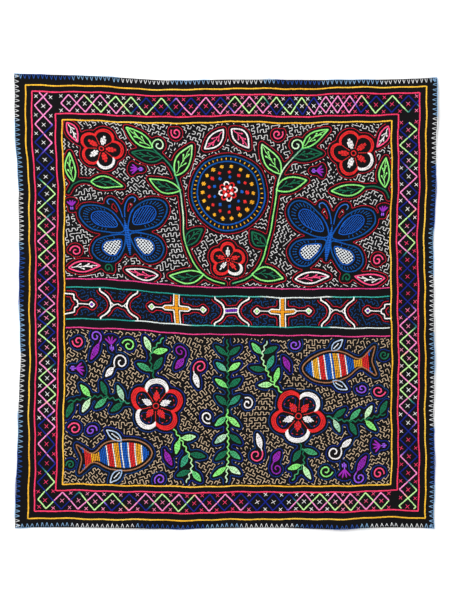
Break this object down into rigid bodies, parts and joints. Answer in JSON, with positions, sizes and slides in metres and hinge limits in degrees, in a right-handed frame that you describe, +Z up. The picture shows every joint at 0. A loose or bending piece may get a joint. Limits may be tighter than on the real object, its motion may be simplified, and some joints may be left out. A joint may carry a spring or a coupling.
{
  "type": "embroidered cloth",
  "caption": "Flat rectangular black cotton cloth with raised embroidered border lines, a band across the middle and a yarn edging, lying on a surface.",
  "frame": {"origin": "middle of the cloth's outer box, on the surface that it lies on", "axes": "+Z up out of the embroidered face, +Y up the design along the longer sides, +X to the right of the design"},
  "size_m": [0.55, 0.5909, 0.0046],
  "materials": {
    "black_cotton": "matte plain-weave cotton, covered in embroidery",
    "blue_yarn": "matte space-dyed edging yarn, light blue to royal blue",
    "embroidery_floss": "matte mercerised cotton floss in many colours, some of it space-dyed, sewn in chain and back stitch"
  },
  "bodies": {
    "root": {"cloth": "black_cotton", "edging": "blue_yarn"}
  },
  "joints": []
}
